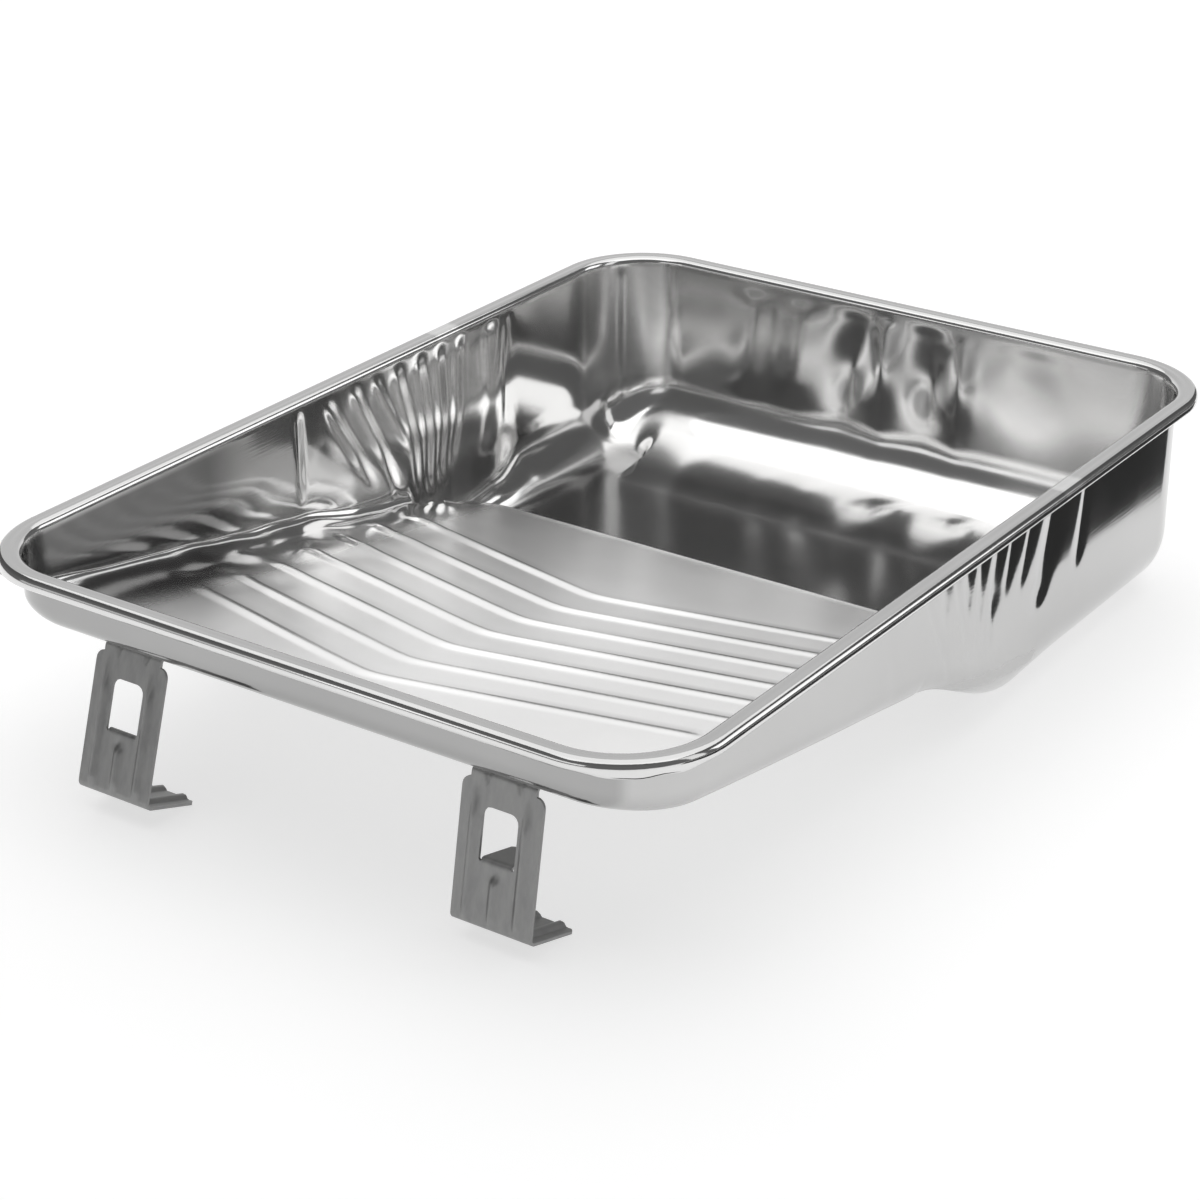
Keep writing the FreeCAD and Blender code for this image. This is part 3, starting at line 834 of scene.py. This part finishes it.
def tinplate():
    """Bright drawn tinplate, satin where it was not drawn."""
    material, nodes, links, shader = new_material("tinplate", (0.82, 0.815, 0.80), 1.0, 0.12)
    cloud = noise(nodes, links, 22, 4)
    grain = noise(nodes, links, 90, 3, (14, 0.6, 14))
    roughness = nodes.new("ShaderNodeMix")
    links.new(region(nodes, "satin")["Fac"], roughness.inputs["Factor"])
    links.new(spread(nodes, links, cloud, 0.07, 0.13), roughness.inputs["A"])
    links.new(spread(nodes, links, cloud, 0.30, 0.32), roughness.inputs["B"])
    links.new(roughness.outputs["Result"], shader.inputs["Roughness"])
    haze = clouded(nodes, links, cloud, (0.95, 0.947, 0.942), (1.0, 0.997, 0.992))
    # The haze's tone is multiplied by the stored painted light and shade.
    tint = nodes.new("ShaderNodeMix")
    tint.data_type = "RGBA"
    tint.blend_type = "MULTIPLY"
    tint.inputs["Factor"].default_value = 1
    links.new(haze, tint.inputs[MIX_A])
    links.new(region(nodes, "painted_light_and_shade")["Color"], tint.inputs[MIX_B])
    # Painted shade: near black is mixed in along the lines behind the ribs.
    shade = nodes.new("ShaderNodeMix")
    shade.data_type = "RGBA"
    links.new(region(nodes, "rib_shade")["Fac"], shade.inputs["Factor"])
    links.new(tint.outputs[MIX_RESULT], shade.inputs[MIX_A])
    shade.inputs[MIX_B].default_value = (0.07, 0.07, 0.07, 1)
    links.new(shade.outputs[MIX_RESULT], shader.inputs["Base Color"])
    relief(nodes, links, grain, 0.05, shader)
    return material


def galvanised():
    """Dull zinc with fine spangle."""
    material, nodes, links, shader = new_material("galvanised_steel", (0.42, 0.42, 0.42), 0.9, 0.42)
    cloud = noise(nodes, links, 240, 5, (1.6, 0.7, 0.5))
    colour = clouded(nodes, links, cloud, (0.25, 0.25, 0.25), (0.33, 0.33, 0.326))
    links.new(colour, shader.inputs["Base Color"])
    links.new(spread(nodes, links, cloud, 0.36, 0.5), shader.inputs["Roughness"])
    relief(nodes, links, cloud, 0.15, shader)
    return material


def glowing(name, colour, roughness, strength):
    """A surface that gives off some white light."""
    material, _, _, shader = new_material(name, colour, 0, roughness)
    shader.inputs["Emission Color"].default_value = (1, 1, 1, 1)
    shader.inputs["Emission Strength"].default_value = strength
    return material


tin = tinplate()
zinc = galvanised()
pan.data.materials.append(tin)
for leg in (left_leg, right_leg):
    leg.data.materials.append(zinc)
for name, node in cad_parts.items():
    if "weld" in name:
        for number in range(len(node.data.materials)):
            node.data.materials[number] = zinc

# ---------------------------------------------------------------- floor, lights, camera

scene = bpy.context.scene
scene.view_settings.view_transform = "Standard"
paper = glowing("studio_paper", (0.48, 0.48, 0.48), 0.9, 0.62)
glow = glowing("studio_glow", (0.0, 0.0, 0.0), 1, 0.9)
velvet, _, _, _ = new_material("black_velvet", (0.02, 0.02, 0.02), 0, 1)

FLOOR_HALF = 6
BACKDROP_RADIUS = 5.9
BACKDROP_TOP = 4.0
BACKDROP_SIDES = 64
FLAG_Z = 0.6  # it lies just above the floor, to the right of the tray
FLAG_CORNERS = ((222, 90), (176, 168), (172, 260), (400, 1600), (1800, 1600), (1800, -200), (420, -200))
SOFTBOXES = (
    # name, place, aim, width, height, watts
    ("softbox_over", (-0.1, 0.15, 1.4), (0, 0, 0), 2.1, 2.1, 20.5),
    ("softbox_back", (-1.15, 1.55, 0.85), (0, 0, 0.05), 2.8, 1.7, 11.4),
    ("softbox_back_right", (1.25, 1.15, 0.8), (0, 0, 0.05), 0.9, 0.7, 2.8),
    ("softbox_front", (-0.35, -1.5, 0.46), (0, 0, 0.05), 1.1, 0.36, 1.0),
    ("softbox_front_left", (-1.15, -1.3, 0.42), (0, 0, 0.05), 0.8, 0.5, 0.5),
    ("softbox_right", (1.6, 0.2, 0.9), (0, 0, 0.1), 0.5, 1.3, 1.7),
)


def studio_piece(name, points, faces, material):
    """Something of the studio's, no part of the tray, from points in metres."""
    mesh = bpy.data.meshes.new(name)
    mesh.from_pydata(points, [], faces)
    mesh.materials.append(material)
    piece = bpy.data.objects.new(name, mesh)
    scene.collection.objects.link(piece)
    return piece


def floor():
    """A plain pale floor."""
    half = FLOOR_HALF
    corners = [(-half, -half, 0), (half, -half, 0), (half, half, 0), (-half, half, 0)]
    studio_piece("studio_floor", corners, [(0, 1, 2, 3)], paper)


def backdrop():
    """A pale round backdrop that only the camera sees, for the views that look past the floor's edge."""
    sides = BACKDROP_SIDES
    turns = [2 * math.pi * side / sides for side in range(sides)]
    low = [(BACKDROP_RADIUS * math.cos(turn), BACKDROP_RADIUS * math.sin(turn), -0.01) for turn in turns]
    high = [(x, y, BACKDROP_TOP) for x, y, _ in low]
    faces = [(start, end, sides + end, sides + start) for start, end in loop_edges(0, sides)]
    wall = studio_piece("studio_backdrop", low + high, faces, glow)
    wall.visible_diffuse = False
    wall.visible_glossy = False
    wall.visible_shadow = False
    wall.visible_transmission = False


def flag():
    """A black card that only reflections see, as a studio flag keeps dark what bright metal mirrors."""
    corners = [(x * MM, y * MM, FLAG_Z * MM) for x, y in FLAG_CORNERS]
    card = studio_piece("flag_right", corners, [tuple(range(len(corners)))], velvet)
    card.visible_camera = False
    card.visible_diffuse = False
    card.visible_shadow = False
    card.visible_transmission = False


def softbox(name, place, aim, width, height, watts):
    """A soft light that faces its aim."""
    data = bpy.data.lights.new(name, "AREA")
    data.shape = "RECTANGLE"
    data.size = width
    data.size_y = height
    data.energy = watts
    lamp = bpy.data.objects.new(name, data)
    lamp.location = place
    lamp.rotation_euler = (Vector(aim) - Vector(place)).to_track_quat("-Z", "Y").to_euler()
    scene.collection.objects.link(lamp)


floor()
for row in SOFTBOXES:
    softbox(*row)
backdrop()
flag()

world = bpy.data.worlds.new("studio")
scene.world = world
world.use_nodes = True
world.node_tree.nodes["Background"].inputs["Color"].default_value = (1, 1, 1, 1)
world.node_tree.nodes["Background"].inputs["Strength"].default_value = 0.14

LENS = 88.67
AZIMUTH = 34.63
ELEVATION = 25.41
AIM = Vector((0.0082, -0.0335, 0.04))
DISTANCE = 1.0319
camera_data = bpy.data.cameras.new("camera")
camera_data.sensor_width = 36
camera_data.lens = LENS
camera = bpy.data.objects.new("camera", camera_data)
camera_turn = Euler((math.radians(90 - ELEVATION), 0, math.radians(AZIMUTH)))
camera.rotation_euler = camera_turn
camera.location = AIM + camera_turn.to_matrix() @ Vector((0, 0, DISTANCE))
scene.collection.objects.link(camera)
scene.camera = camera

for piece, node, name in ((pan, "tray_pan", "tinplate"), (left_leg, "left_leg", "galvanised_steel"),
                          (right_leg, "right_leg", "galvanised_steel")):
    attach(piece, "root")
    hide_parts(node)
